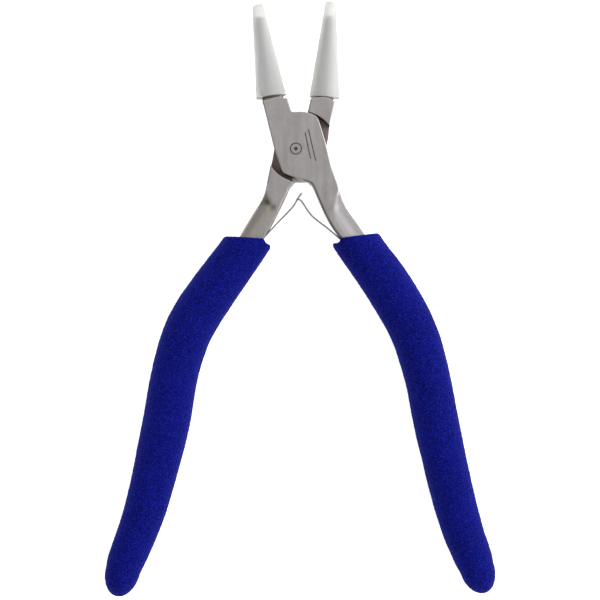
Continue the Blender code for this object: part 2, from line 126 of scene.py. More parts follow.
# ---- distance fields ------------------------------------------------------------------
def polygon_distance(x, y, pts):
    """Signed distance in the plan to a closed outline, negative inside."""
    best = np.full(x.shape, 1e9)
    inside = np.zeros(x.shape, bool)
    n = len(pts)
    for i in range(n):
        ax, ay = pts[i]
        bx, by = pts[(i + 1) % n]
        ex, ey = bx - ax, by - ay
        wx, wy = x - ax, y - ay
        t = np.clip((wx * ex + wy * ey) / (ex * ex + ey * ey), 0, 1)
        best = np.minimum(best, (wx - ex * t) ** 2 + (wy - ey * t) ** 2)
        if ay != by:
            c = ((ay <= y) != (by <= y)) & (x < ax + (y - ay) * ex / ey)
            inside ^= c
    return np.where(inside, -1, 1) * np.sqrt(best)


def along_line(x, y, line):
    """Nearest place on an open line: its number along the line, the signed offset to the
    left of the direction of travel, and how far the point lies past either end."""
    best = np.full(x.shape, 1e9)
    pos = np.zeros(x.shape)
    off = np.zeros(x.shape)
    past = np.zeros(x.shape)
    n = len(line)
    for i in range(n - 1):
        ax, ay = line[i][0], line[i][1]
        ex, ey = line[i + 1][0] - ax, line[i + 1][1] - ay
        ll = math.hypot(ex, ey)
        wx, wy = x - ax, y - ay
        raw = (wx * ex + wy * ey) / (ll * ll)
        t = np.clip(raw, 0, 1)
        d = (wx - ex * t) ** 2 + (wy - ey * t) ** 2
        m = d < best
        best[m] = d[m]
        pos[m] = i + t[m]
        off[m] = ((ex * wy - ey * wx) / ll)[m]
        p = np.zeros(x.shape)
        if i == 0:
            p = np.where(raw < 0, -raw * ll, p)
        if i == n - 2:
            p = np.where(raw > 1, (raw - 1) * ll, p)
        past[m] = p[m]
    return pos, off, past


def round_max(a, b, r):
    return np.minimum(np.maximum(a, b), -r) + np.sqrt(
        np.maximum(a + r, 0) ** 2 + np.maximum(b + r, 0) ** 2)


def smooth_min(a, b, k):
    h = np.clip(0.5 + 0.5 * (b - a) / k, 0, 1)
    return b * (1 - h) + a * h - k * h * (1 - h)


def surface_net(name, fields, combine, xs, ys, zs, rounds=2):
    """A closed quad mesh of the zero surface of combine(fields(x, y), z)."""
    gx, gy = np.meshgrid(xs, ys, indexing="ij")
    flat = fields(gx, gy)
    F = combine({k: v[:, :, None] for k, v in flat.items()}, zs[None, None, :],
                gx[:, :, None], gy[:, :, None]).astype(np.float32)
    neg = F < 0
    nx, ny, nz = F.shape
    corners = [(i, j, k) for i in (0, 1) for j in (0, 1) for k in (0, 1)]
    every = np.ones((nx - 1, ny - 1, nz - 1), bool)
    some = np.zeros_like(every)
    for i, j, k in corners:
        c = neg[i:nx - 1 + i, j:ny - 1 + j, k:nz - 1 + k]
        every &= c
        some |= c
    active = some & ~every
    ci, cj, ck = np.nonzero(active)
    index = np.full(active.shape, -1, np.int32)
    index[ci, cj, ck] = np.arange(len(ci))
    X = np.stack([np.stack([xs[ci + i], ys[cj + j], zs[ck + k]], 1) for i, j, k in corners], 1)
    V = np.stack([F[ci + i, cj + j, ck + k] for i, j, k in corners], 1)
    P = np.zeros((len(ci), 3))
    count = np.zeros(len(ci))
    for a, ca in enumerate(corners):
        for b in range(a + 1, 8):
            if sum(abs(u - v) for u, v in zip(ca, corners[b])) != 1:
                continue
            cross = (V[:, a] < 0) != (V[:, b] < 0)
            t = np.where(cross, V[:, a] / np.where(cross, V[:, a] - V[:, b], 1), 0)
            P += np.where(cross[:, None], X[:, a] + t[:, None] * (X[:, b] - X[:, a]), 0)
            count += cross
    P /= count[:, None]
    quads = []

    def emit(sel, ids, flip):
        q = np.stack(ids, 1)
        q[flip] = q[flip][:, ::-1]
        quads.append(q)

    i, j, k = np.nonzero(neg[:-1, 1:-1, 1:-1] != neg[1:, 1:-1, 1:-1])
    j, k = j + 1, k + 1
    emit(None, [index[i, j - 1, k - 1], index[i, j, k - 1], index[i, j, k], index[i, j - 1, k]],
         ~neg[i, j, k])
    i, j, k = np.nonzero(neg[1:-1, :-1, 1:-1] != neg[1:-1, 1:, 1:-1])
    i, k = i + 1, k + 1
    emit(None, [index[i - 1, j, k - 1], index[i, j, k - 1], index[i, j, k], index[i - 1, j, k]],
         neg[i, j, k])
    i, j, k = np.nonzero(neg[1:-1, 1:-1, :-1] != neg[1:-1, 1:-1, 1:])
    i, j = i + 1, j + 1
    emit(None, [index[i - 1, j - 1, k], index[i, j - 1, k], index[i, j, k], index[i - 1, j, k]],
         ~neg[i, j, k])
    Q = np.concatenate(quads)

    def value(p):
        return combine(fields(p[:, 0], p[:, 1]), p[:, 2], p[:, 0], p[:, 1])

    h = 0.015
    for _ in range(rounds):
        base = fields(P[:, 0], P[:, 1])
        f0 = combine(base, P[:, 2], P[:, 0], P[:, 1])
        g = np.zeros_like(P)
        g[:, 2] = (combine(base, P[:, 2] + h, P[:, 0], P[:, 1])
                   - combine(base, P[:, 2] - h, P[:, 0], P[:, 1])) / (2 * h)
        for ax in (0, 1):
            d = np.zeros(3)
            d[ax] = h
            g[:, ax] = (value(P + d) - value(P - d)) / (2 * h)
        gg = np.maximum((g * g).sum(1), 0.05)
        P -= np.clip(f0 / gg, -0.12, 0.12)[:, None] * g
    return P, Q


# ---- the levers -----------------------------------------------------------------------
HALF_T = 4.5
EDGE = 0.16                 # broken edges of the ground steel
LAP = 0.04                  # each lap stands this far off the parting plane
R_UP, R_DOWN = 9.52, 8.7    # shoulders of the lap recess

FRONT_JAW = ((-7.44, 13.45), -8.4)
BACK_JAW = ((6.36, 13.45), 3.9)
CORE_BASE_R, CORE_TIP_R, CORE_LEN = 2.35, 0.9, 21.0

FRONT_PLATE = [
    (-9.6, 12.2), (-8.3, 12.52), (-7.1, 12.88), (-5.8, 13.18), (-4.85, 13.34), (-4.6, 13.22),
    (-4.45, 12.86), (-3.14, 12.86), (-2.88, 11.9), (-2.62, 10.9), (-2.34, 9.95), (-2.2, 9.58),
    (-1.98, 9.38), (-1.65, 9.31), (-1.2, 9.33), (-0.4, 9.38), (0.6, 9.38), (1.6, 9.26),
    (2.6, 9.03), (3.45, 8.7), (4.05, 8.35), (4.45, 8.0), (4.75, 7.55), (4.98, 6.95),
    (5.5, 5.3), (6.7, 1.2), (7.45, -1.8), (8.11, -4.58), (8.95, -7.6), (9.3, -8.9),
    (9.0, -10.2), (5.5, -10.4), (4.0, -9.9), (3.5, -9.5), (3.05, -9.12), (2.6, -8.86),
    (2.1, -8.67), (1.3, -8.46), (0.36, -8.2), (-0.7, -7.83), (-1.82, -7.42), (-3.1, -6.96),
    (-4.1, -6.52), (-4.52, -6.22), (-4.8, -5.6), (-5.4, -3.8), (-6.11, -1.61), (-6.79, 0.78),
    (-8.19, 6.55)]
BACK_PLATE = [
    (9.1, 11.92), (8.5, 12.25), (7.95, 12.58), (7.4, 12.88), (6.7, 13.05), (5.3, 13.12),
    (3.9, 13.06), (3.4, 12.96), (2.85, 12.74), (2.66, 12.1), (2.36, 10.7), (2.12, 9.66),
    (1.98, 9.42), (1.7, 9.3), (0.9, 9.3), (0.0, 9.38), (-1.0, 9.36), (-2.0, 9.2),
    (-3.0, 8.92), (-3.9, 8.55), (-4.6, 8.1), (-5.05, 7.6), (-5.3, 6.9), (-5.75, 5.0),
    (-6.55, 1.3), (-6.75, -0.5), (-7.12, -2.6), (-7.6, -4.7), (-8.15, -7.6), (-8.35, -8.9),
    (-7.6, -10.2), (-4.0, -10.4), (-2.8, -9.95), (-2.52, -9.45), (-2.28, -8.95),
    (-2.08, -8.66), (-1.8, -8.46), (-1.2, -8.38), (-0.6, -8.37), (0.3, -8.38), (1.3, -8.37),
    (2.1, -8.3), (2.8, -8.05), (3.4, -7.6), (4.3, -6.95), (4.85, -6.4), (5.15, -5.75), (5.7, -3.6),
    (6.3, -1.2), (6.98, 1.2), (7.45, 3.1), (7.66, 5.56)]

# handles: inner and outer points across each handle, the height of its ground flats,
# the section's own half height, its squareness on the outer and on the inner side, and
# how far the section's crown is moved to the outer side
FRONT_HANDLE = [
    ((2.4, -7.2), (8.75, -7.0), 5.5, 5.6, 14, 14, 0.0),
    ((3.5, -9.3), (9.62, -9.2), 5.5, 5.6, 12, 14, 0.0),
    ((4.2, -11.2), (10.2, -10.7), 5.0, 5.25, 9, 14, 0.0),
    ((5.05, -13.5), (10.7, -12.2), 4.6, 4.66, 4.4, 14, 0.0),
    ((6.25, -16.3), (11.5, -14.1), 4.5, 4.575, 2.3, 12, -0.55),
    ((7.75, -19.2), (12.84, -16.4), 4.38, 4.42, 2.2, 10, -0.66),
    ((9.5, -21.7), (14.66, -18.9), 4.2, 4.225, 2.2, 9, -0.72),
    ((11.2, -23.6), (16.0, -20.8), 4.0, 4.02, 2.2, 8, -0.74),
    ((12.95, -25.7), (17.2, -22.6), 3.75, 3.77, 2.3, 6, -0.65),
    ((15.45, -29.05), (19.45, -26.05), 3.4, 3.4, 2.5, 4, -0.4),
    ((20.4, -36.4), (24.2, -33.6), 3.2, 3.1, 2.5, 2.6, 0.0),
    ((26.05, -46.0), (29.95, -44.0), 3.2, 3.0, 2.4, 2.4, 0.0),
    ((30.2, -56.6), (34.2, -55.4), 3.2, 2.9, 2.4, 2.4, 0.0),
    ((33.0, -71.3), (37.0, -70.7), 3.2, 2.7, 2.3, 2.3, 0.0),
    ((35.7, -83.2), (39.3, -82.5), 3.2, 2.4, 2.2, 2.2, 0.0),
    ((38.1, -91.6), (41.2, -90.8), 3.2, 2.0, 2.0, 2.0, 0.0)]
BACK_HANDLE = [
    ((-0.9, -7.0), (-7.8, -6.6), 5.5, 5.6, 14, 14, 0.0),
    ((-2.42, -9.2), (-8.3, -8.7), 5.5, 5.6, 12, 14, 0.0),
    ((-3.13, -10.9), (-8.75, -10.3), 5.0, 5.25, 8, 14, 0.0),
    ((-4.03, -13.0), (-9.32, -12.1), 4.6, 4.62, 3.6, 14, 0.1),
    ((-5.26, -15.7), (-10.35, -14.1), 4.5, 4.575, 2.25, 12, -0.68),
    ((-6.88, -19.0), (-11.95, -16.4), 4.36, 4.40, 2.2, 10, -0.75),
    ((-8.75, -22.1), (-13.75, -19.3), 4.2, 4.225, 2.2, 9, -0.8),
    ((-10.4, -24.2), (-15.1, -21.6), 3.95, 3.97, 2.2, 8, -0.8),
    ((-12.1, -26.5), (-16.4, -24.0), 3.7, 3.72, 2.3, 6, -0.7),
    ((-14.7, -30.0), (-18.7, -27.4), 3.4, 3.4, 2.5, 4, -0.4),
    ((-19.9, -36.9), (-23.6, -34.2), 3.2, 3.1, 2.5, 2.6, 0.0),
    ((-25.7, -46.2), (-29.5, -44.2), 3.2, 3.0, 2.4, 2.4, 0.0),
    ((-29.8, -56.8), (-33.7, -55.6), 3.2, 2.9, 2.4, 2.4, 0.0),
    ((-32.7, -71.5), (-36.6, -70.9), 3.2, 2.7, 2.3, 2.3, 0.0),
    ((-35.4, -83.4), (-39.0, -82.6), 3.2, 2.4, 2.2, 2.2, 0.0),
    ((-38.1, -91.6), (-41.1, -90.8), 3.2, 2.0, 2.0, 2.0, 0.0)]


def handle_rows(handle):
    rows = np.array([[*i, *o, *rest] for i, o, *rest in handle], float)
    return curve_through(rows, 5)


def handle_fields(x, y, rows, side):
    mid = (rows[:, 0:2] + rows[:, 2:4]) / 2
    half = np.hypot(*(rows[:, 2:4] - rows[:, 0:2]).T) / 2
    pos, off, past = along_line(x, y, mid)
    off = off * side                  # towards the outer side is positive
    i = np.clip(pos.astype(int), 0, len(rows) - 2)
    w = pos - i

    def row(col):
        return col[i] * (1 - w) + col[i + 1] * w

    a = row(half)
    crown = row(rows[:, 8]) * a
    out = off > crown
    reach = np.where(out, a - crown, a + crown)
    return {"u": np.abs(off - crown) / reach, "a": a, "reach": reach,
            "sq": np.where(out, row(rows[:, 6]), row(rows[:, 7])), "h": row(rows[:, 5]),
            "flat": row(rows[:, 4]), "past": past, "pos": pos, "off": off}


def handle_distance(f, z):
    u = np.maximum(f["u"], 1e-4)
    v = np.maximum(np.abs(z) / f["h"], 1e-4)
    g = u ** f["sq"] + v ** f["sq"]
    q = g ** (1 / f["sq"])
    # the superellipse's own slope turns q - 1 into a distance near the surface
    slope = np.hypot((u / q) ** (f["sq"] - 1) / f["reach"], (v / q) ** (f["sq"] - 1) / f["h"])
    d = (q - 1) / np.maximum(slope, 1e-3)
    d = np.clip(d, -3.0, 50.0)
    d = round_max(d, np.abs(z) - f["flat"], 0.04)
    start = (f["pos"] < 0.5) & (f["past"] > 0)
    finish = (f["pos"] > 1) & (f["past"] > 0)
    d = np.where(start, np.maximum(d, f["past"]), d)
    return np.where(finish, np.sqrt(np.maximum(d + 1.4, 0) ** 2 + f["past"] ** 2) - 1.4, d)


def make_lever(name, plate, handle, jaw, side, top_lap, rivet_at, rivet_in, dark_patches=()):
    rows = handle_rows(handle)
    (jx, jy), lean = jaw
    ja = math.radians(lean)
    jd = (math.sin(ja), math.cos(ja))
    rx, ry = rivet_at
    ux, uy = rivet_in                     # unit direction from the tang through the leaf

    def fields(x, y):
        f = handle_fields(x, y, rows, side)
        f["plate"] = polygon_distance(x, y, plate)
        f["r"] = np.hypot(x, y)
        f["ax"] = (x - jx) * jd[0] + (y - jy) * jd[1]
        f["lat"] = (x - jx) * jd[1] - (y - jy) * jd[0]
        f["ra"] = (x - rx) * ux + (y - ry) * uy
        f["rl"] = (x - rx) * uy - (y - ry) * ux
        return f

    def combine(f, z, x, y):
        az = np.abs(z)
        body = smooth_min(f["plate"] + 0 * z, handle_distance(f, z), 0.3)
        body = round_max(body, az - HALF_T, EDGE)
        # the lap recess for the other lever
        zz = z if top_lap else -z
        r_shoulder = np.where(y > 0, R_UP, R_DOWN) + 0.17 * (np.abs(x) < 2.5)
        recess = np.maximum(f["r"] - r_shoulder, zz - LAP)
        body = round_max(body, -recess, 0.05)
        # the round jaw inside its sleeve
        rr = np.sqrt(f["lat"] ** 2 + z * z)
        k = (CORE_BASE_R - CORE_TIP_R) / CORE_LEN
        cone = (rr - (CORE_BASE_R - k * f["ax"])) * 0.997
        cone = round_max(cone, f["ax"] - CORE_LEN, 0.35)
        cone = np.maximum(cone, -1.3 - f["ax"])
        collar = np.maximum(rr - 3.25, np.maximum(f["ax"] + 0.2, -1.6 - f["ax"]))
        collar = np.maximum(collar, -side * f["lat"] - (1.9 if side > 0 else 2.3))
        body = np.minimum(smooth_min(body, cone, 0.12), collar)
        # the hinge rivet's bore: blind from the front, countersunk on the back
        if top_lap:
            body = np.maximum(body, -np.maximum(f["r"] - 2.95, z - 3.35))
        else:
            body = np.maximum(body, -(f["r"] - 2.95) + 0 * z)
            sink = np.maximum((f["r"] - 4.33 + (z + HALF_T) * 1.077) * 0.68, z + HALF_T - 1.32)
            body = round_max(body, -sink, 0.03)
        # the small hole for the leaf's rivet
        pin = np.maximum(np.sqrt(f["rl"] ** 2 + z * z) - 0.86, -3.0 - f["ra"])
        return np.maximum(body, -pin)

    xa = np.arange(-12.6, 18.0, 0.16)
    xb = np.arange(18.0, 43.0, 0.4)
    xs = np.concatenate([xa, xb])
    if side < 0:
        xs = -xs[::-1]
    ys = np.concatenate([np.arange(-92.8, -33.0, 0.6), np.arange(-33.0, -27.0, 0.3),
                         np.arange(-27.0, 14.6, 0.16), np.arange(14.6, 36.0, 0.3)])
    zs = np.arange(-4.95, 4.96, 0.16) + 0.0713
    P, Q = surface_net(name, fields, combine, xs, ys, zs)
    ob = add_object(name, P, Q)
    f = fields(P[:, 0], P[:, 1])
    az = np.abs(P[:, 2])
    zz = P[:, 2] if top_lap else -P[:, 2]
    r_sh = np.where(P[:, 1] > 0, R_UP, R_DOWN)
    plan = np.minimum(f["plate"], handle_distance(f, 0 * az + 1e-3))
    recess = ((f["r"] < r_sh + 0.08) & (zz < LAP + 0.05) & (az < 4.3)).astype(float)
    if not top_lap:                      # painted highlight on a strip of the recess floor where the crotch opens
        strip = np.clip((P[:, 0] + 1.95) / 0.16, 0, 1) * (P[:, 1] < -6.6) * (recess > 0)
        recess *= 1 - 0.94 * strip
    collar = ((f["ax"] > -1.5) & (f["ax"] < 0.55) & (az < 3.3) & (plan > -0.12)).astype(float)
    ground = np.minimum(HALF_T, f["flat"])
    tang = np.clip((ground - 0.015 - az) / 0.04, 0, 1) * (f["off"] > -0.9 * f["a"]) * (
        f["pos"] > 12) * np.clip((-P[:, 1] - 11.5) / 1.0, 0, 1)
    # a bright line along the top ground edges: partly edge wear, partly painted highlight
    wear_and_highlight = np.exp(-((az - HALF_T + 0.06) / 0.14) ** 2) * np.exp(-(plan / 0.18) ** 2)
    nrm = np.zeros(len(P) * 3, np.float32)
    ob.data.vertices.foreach_get("normal", nrm)
    nrm = nrm.reshape(-1, 3)
    steep = np.clip((0.93 - np.abs(nrm[:, 2])) / 0.35, 0, 1)
    to_left = np.clip(-nrm[:, 0] * 1.25 + 0.1 * nrm[:, 1], 0, 1)
    to_end = np.clip(-nrm[:, 1], 0, 1)
    # painted shade on the steep walls, heavier where they face left or towards the handle ends
    if top_lap:
        painted_shade = steep * (0.20 + 0.60 * to_left + 0.04 * to_end)
    else:                                # less painted shade on the left tang's outer side
        painted_shade = steep * (0.36 + 0.44 * to_left + 0.04 * to_end) * (
            1 - 0.8 * tang * np.clip((-P[:, 1] - 14.2) / 1.6, 0, 1) * np.exp(-(plan / 0.55) ** 2))
    # painted highlight: the bright edge line is kept only on edges that do not face left, away
    # from the key light
    wear_and_highlight = wear_and_highlight * (1 - to_left)
    if not top_lap:
        # painted highlight on that strip of the recess floor
        wear_and_highlight = np.maximum(wear_and_highlight, 3.6 * strip)
    # painted shade: a dark line along the ground edges that look to the left, away from the key
    # light
    e = 0.03
    slope = []
    for dx, dy in ((e, 0), (0, e)):
        g0 = fields(P[:, 0] - dx, P[:, 1] - dy)
        g1 = fields(P[:, 0] + dx, P[:, 1] + dy)
        slope.append(np.minimum(g1["plate"], handle_distance(g1, 0 * az + 1e-3))
                     - np.minimum(g0["plate"], handle_distance(g0, 0 * az + 1e-3)))
    lean_left = np.clip(-slope[0] / np.maximum(np.hypot(*slope), 1e-6) * 1.4 - 0.25, 0, 1)
    inner = (side > 0) & (P[:, 0] > 0) & (P[:, 1] < -7.5)
    rim = np.exp(-(plan / np.where(inner, 0.36, 0.19)) ** 2) * lean_left * (P[:, 2] > 3.4)
    painted_shade = np.maximum(painted_shade, rim * np.where(inner, 0.97, 0.9))
    painted_shade = np.maximum(painted_shade, 0.9 * (steep > 0.5) * (inner & (lean_left > 0.3)))
    # painted shade in the throat under the front plate's lower edge
    throat = (side > 0) & (P[:, 0] > 0.2) & (P[:, 0] < 3.6) & (P[:, 1] < -7.6) & (P[:, 2] > 2.6)
    under = np.clip((P[:, 0] - 0.2) / 0.9, 0, 1) * throat * (P[:, 1] > -9.4)
    painted_shade = np.maximum(painted_shade, 0.93 * under * np.maximum(np.exp(-(plan / 0.27) ** 2), steep > 0.5))
    pale = np.exp(-((P[:, 0] - 7.25) / 0.55) ** 2 - ((P[:, 1] - 4.0) / 1.0) ** 2)
    # darker patches on the top flats at the given places, where the flats run out into the tang
    dark_patch = np.zeros(len(P))
    for cx, cy, rad, amount in dark_patches:
        dark_patch += amount * np.exp(-((P[:, 0] - cx) ** 2 + (P[:, 1] - cy) ** 2) / rad ** 2)
    attribute(ob, "recess", np.maximum(recess, collar))
    attribute(ob, "tang", tang)
    attribute(ob, "wear_and_highlight", np.clip(wear_and_highlight, 0, 4))
    attribute(ob, "painted_shade", np.clip(painted_shade, 0, 0.95))
    attribute(ob, "pale", pale * recess)
    attribute(ob, "dark_patch", np.clip(dark_patch, 0, 1) * (P[:, 2] > 2))
    attribute(ob, "core", ((f["ax"] > 0.7) & (np.abs(f["lat"]) < 3) & (az < 3)).astype(float))
    return ob


def unit(x, y):
    d = math.hypot(x, y)
    return x / d, y / d


FRONT_LEAF = [(16.9, -32.1), (15.0, -29.3), (12.55, -25.9), (10.75, -23.6), (7.33, -20.6),
              (4.9, -18.75), (3.4, -17.5), (2.5, -16.5), (1.7, -15.35), (1.0, -14.25),
              (0.4, -13.42), (0.1, -13.14), (-0.25, -13.0), (-0.85, -12.8)]
BACK_LEAF = [(-16.2, -32.9), (-14.2, -30.4), (-12.0, -26.9), (-10.45, -24.3), (-7.7, -21.15),
             (-5.3, -18.6), (-3.7, -16.98), (-2.0, -15.15), (-1.3, -14.15), (-0.72, -13.12),
             (-0.2, -12.25), (0.52, -11.38)]
FRONT_RIVET_AT, BACK_RIVET_AT = (15.0, -29.3), (-14.2, -30.4)


def line_direction(line, at):
    i = min(range(1, len(line) - 1), key=lambda k: math.dist(line[k], at))
    return unit(line[i + 1][0] - line[i - 1][0], line[i + 1][1] - line[i - 1][1])


_d = line_direction(curve_through(FRONT_LEAF, 4), FRONT_RIVET_AT)
FRONT_RIVET_IN = (-abs(_d[1]), -abs(_d[0]))
_d = line_direction(curve_through(BACK_LEAF, 4), BACK_RIVET_AT)
BACK_RIVET_IN = (abs(_d[1]), -abs(_d[0]))

front_lever = make_lever("front_lever_steel", FRONT_PLATE, FRONT_HANDLE, FRONT_JAW, 1, True,
                         FRONT_RIVET_AT, FRONT_RIVET_IN)
back_lever = make_lever("back_lever_steel", BACK_PLATE, BACK_HANDLE, BACK_JAW, -1, False,
                        BACK_RIVET_AT, BACK_RIVET_IN,
                        ((-8.5, -13.8, 0.9, 1.0), (-6.7, -15.1, 0.7, 0.68),
                         (-7.7, -14.4, 0.6, 0.35), (-7.1, -15.9, 0.7, 0.25)))


# ---- turned pieces ----------------------------------------------------------------------
def turned(name, profile, steps, frame=None, in_world=True):
    """A closed profile of (radius, height) turned about its own axis. frame maps the
    turned shape to the plan: origin, then the directions of its x, y and z axes."""
    prof = np.asarray(profile, float)
    n = len(prof)
    verts, faces, ids = [], [], []
    for r, h in prof:
        if r < 1e-6:
            ids.append([len(verts)])
            verts.append((0, 0, h))
        else:
            ids.append(list(range(len(verts), len(verts) + steps)))
            for k in range(steps):
                a = 2 * math.pi * k / steps
                verts.append((r * math.cos(a), r * math.sin(a), h))
    for a, b in zip(ids, ids[1:]):
        for k in range(steps):
            j = (k + 1) % steps
            if len(a) == 1 and len(b) == 1:
                break
            if len(a) == 1:
                faces.append((a[0], b[k], b[j]))
            elif len(b) == 1:
                faces.append((a[k], b[0], a[j]))
            else:
                faces.append((a[k], b[k], b[j], a[j]))
    v = np.array(verts)
    if frame is not None:
        o, ex, ey, ez = (np.array(q, float) for q in frame)
        v = o + v[:, :1] * ex + v[:, 1:2] * ey + v[:, 2:3] * ez
    ob = add_object(name, v, faces)
    bm = bmesh.new()
    bm.from_mesh(ob.data)
    bmesh.ops.recalc_face_normals(bm, faces=bm.faces)
    bm.to_mesh(ob.data)
    bm.free()
    ob.data.shade_smooth()
    ob.data.set_sharp_from_angle(angle=math.radians(50))
    return ob


def arc_points(cx, cy, r, a0, a1, n, ky=1.0):
    return [(cx + r * math.cos(math.radians(a0 + (a1 - a0) * k / n)),
             cy + ky * r * math.sin(math.radians(a0 + (a1 - a0) * k / n))) for k in range(n + 1)]


def jaw_frame(jaw):
    (x, y), lean = jaw
    a = math.radians(lean)
    ez = (math.sin(a), math.cos(a), 0)
    ex = (math.cos(a), -math.sin(a), 0)
    ey = (0, 0, -1)
    return ((x, y, 0), ex, ey, ez)


SLEEVE_LEN, SLEEVE_BASE_R, SLEEVE_TIP_R = 24.0, 3.95, 1.5
SLOPE = (SLEEVE_BASE_R - SLEEVE_TIP_R) / SLEEVE_LEN


def sleeve(name, jaw, top, ring_depth, base, skew, drift=0.0, flare=0.0):
    """base lifts the open end off the shank; skew is the slope of the cut tip; drift and
    flare move and widen the outside toward the base."""
    def radius(h):
        return SLEEVE_BASE_R - SLOPE * h

    edge = 0.28
    pts = [(0, top + 0.02), (radius(top) * 0.4, top + 0.015), (radius(top) * 0.7, top)]
    pts += arc_points(radius(top - edge) - edge, top - edge, edge, 88, 4, 7)
    pts += [(radius(h), h) for h in np.arange(top - 0.9, 5.4, -0.6)]
    # faint turning rings near the base
    rings = (0.95, 1.45, 1.98, 2.46, 3.0, 3.5, 4.05, 4.6)
    for h in np.arange(5.2, 0.3 + base, -0.07):
        dip = sum(ring_depth * math.exp(-((h - c) / 0.1) ** 2) for c in rings)
        pts.append((radius(h) - dip, h))
    pts += arc_points(radius(base) - 0.14, base + 0.14, 0.14, 5, -85, 6)
    k = (CORE_BASE_R - CORE_TIP_R) / CORE_LEN
    inner = [(CORE_BASE_R + 0.3, base), (CORE_BASE_R + 0.12, base + 0.25)]
    inner += [(CORE_BASE_R + 0.06 - k * h, h) for h in np.arange(0.6, CORE_LEN - 0.2, 1.0)]
    inner += [(CORE_TIP_R + 0.04, CORE_LEN - 0.2), (CORE_TIP_R - 0.25, CORE_LEN + 0.1),
              (0, CORE_LEN + 0.12)]
    ob = turned(name, pts + inner, 96, jaw_frame(jaw))
    # the tip is cut a little out of square
    o, ex, _, ez = (np.array(q, float) for q in jaw_frame(jaw))
    co = np.zeros(len(ob.data.vertices) * 3)
    ob.data.vertices.foreach_get("co", co)
    co = (co.reshape(-1, 3) - world([(0, 0, 0)])[0]) / MM - o
    h, lat = co @ ez, co @ ex
    w = np.clip((h - (top - 2.2)) / 1.8, 0, 1)
    co += o + (skew * lat * w * w * (3 - 2 * w))[:, None] * ez
    low = np.clip(1 - h / top, 0, 1) * np.clip((np.hypot(lat, co[:, 2]) - 2.6) / 0.5, 0, 1)
    co += (low * (drift + flare * lat))[:, None] * ex
    ob.data.vertices.foreach_set("co", world(co).astype(np.float32).ravel())
    ob.data.update()
    return ob


front_sleeve = sleeve("front_sleeve_nylon", FRONT_JAW, 24.4, 0.018, 0.22, 0.17, 0.05, 0.012)
back_sleeve = sleeve("back_sleeve_nylon", BACK_JAW, 24.85, 0.03, 0.02, -0.03)

# the hinge rivet: blind in the front lap, its flush head ground with the back
rivet = turned("hinge_rivet_steel", [
    (0, 3.3), (2.5, 3.3), (2.72, 3.26), (2.86, 3.14), (2.9, 3.0), (2.9, 0.2), (2.9, -1.5),
    (2.9, -3.12), (2.95, -3.2), (3.4, -3.62), (3.85, -4.04), (4.2, -4.37), (4.27, -4.46),
    (4.2, -4.5), (4.0, -4.508), (3.2, -4.512), (2.2, -4.52), (1.1, -4.525), (0, -4.525)], 96,
    ((0, 0, 0), (1, 0, 0), (0, 1, 0), (0, 0, 1)))


def spring_rivet(name, at, inward):
    o = (at[0], at[1], 0)
    ez = (inward[0], inward[1], 0)
    ex = (-inward[1], inward[0], 0)
    head = [(0, 1.1), (0.35, 1.08), (0.7, 1.0), (0.95, 0.88), (1.13, 0.72), (1.22, 0.56),
            (1.25, 0.42), (1.23, 0.34), (1.15, 0.3), (0.86, 0.28), (0.8, 0.24), (0.8, 0.0),
            (0.8, -1.5), (0.8, -2.75), (0.74, -2.88), (0.6, -2.93), (0, -2.93)]
    return turned(name, head, 48, (o, ex, (0, 0, 1), ez))


front_pin = spring_rivet("front_spring_rivet_steel", FRONT_RIVET_AT, FRONT_RIVET_IN)
back_pin = spring_rivet("back_spring_rivet_steel", BACK_RIVET_AT, BACK_RIVET_IN)


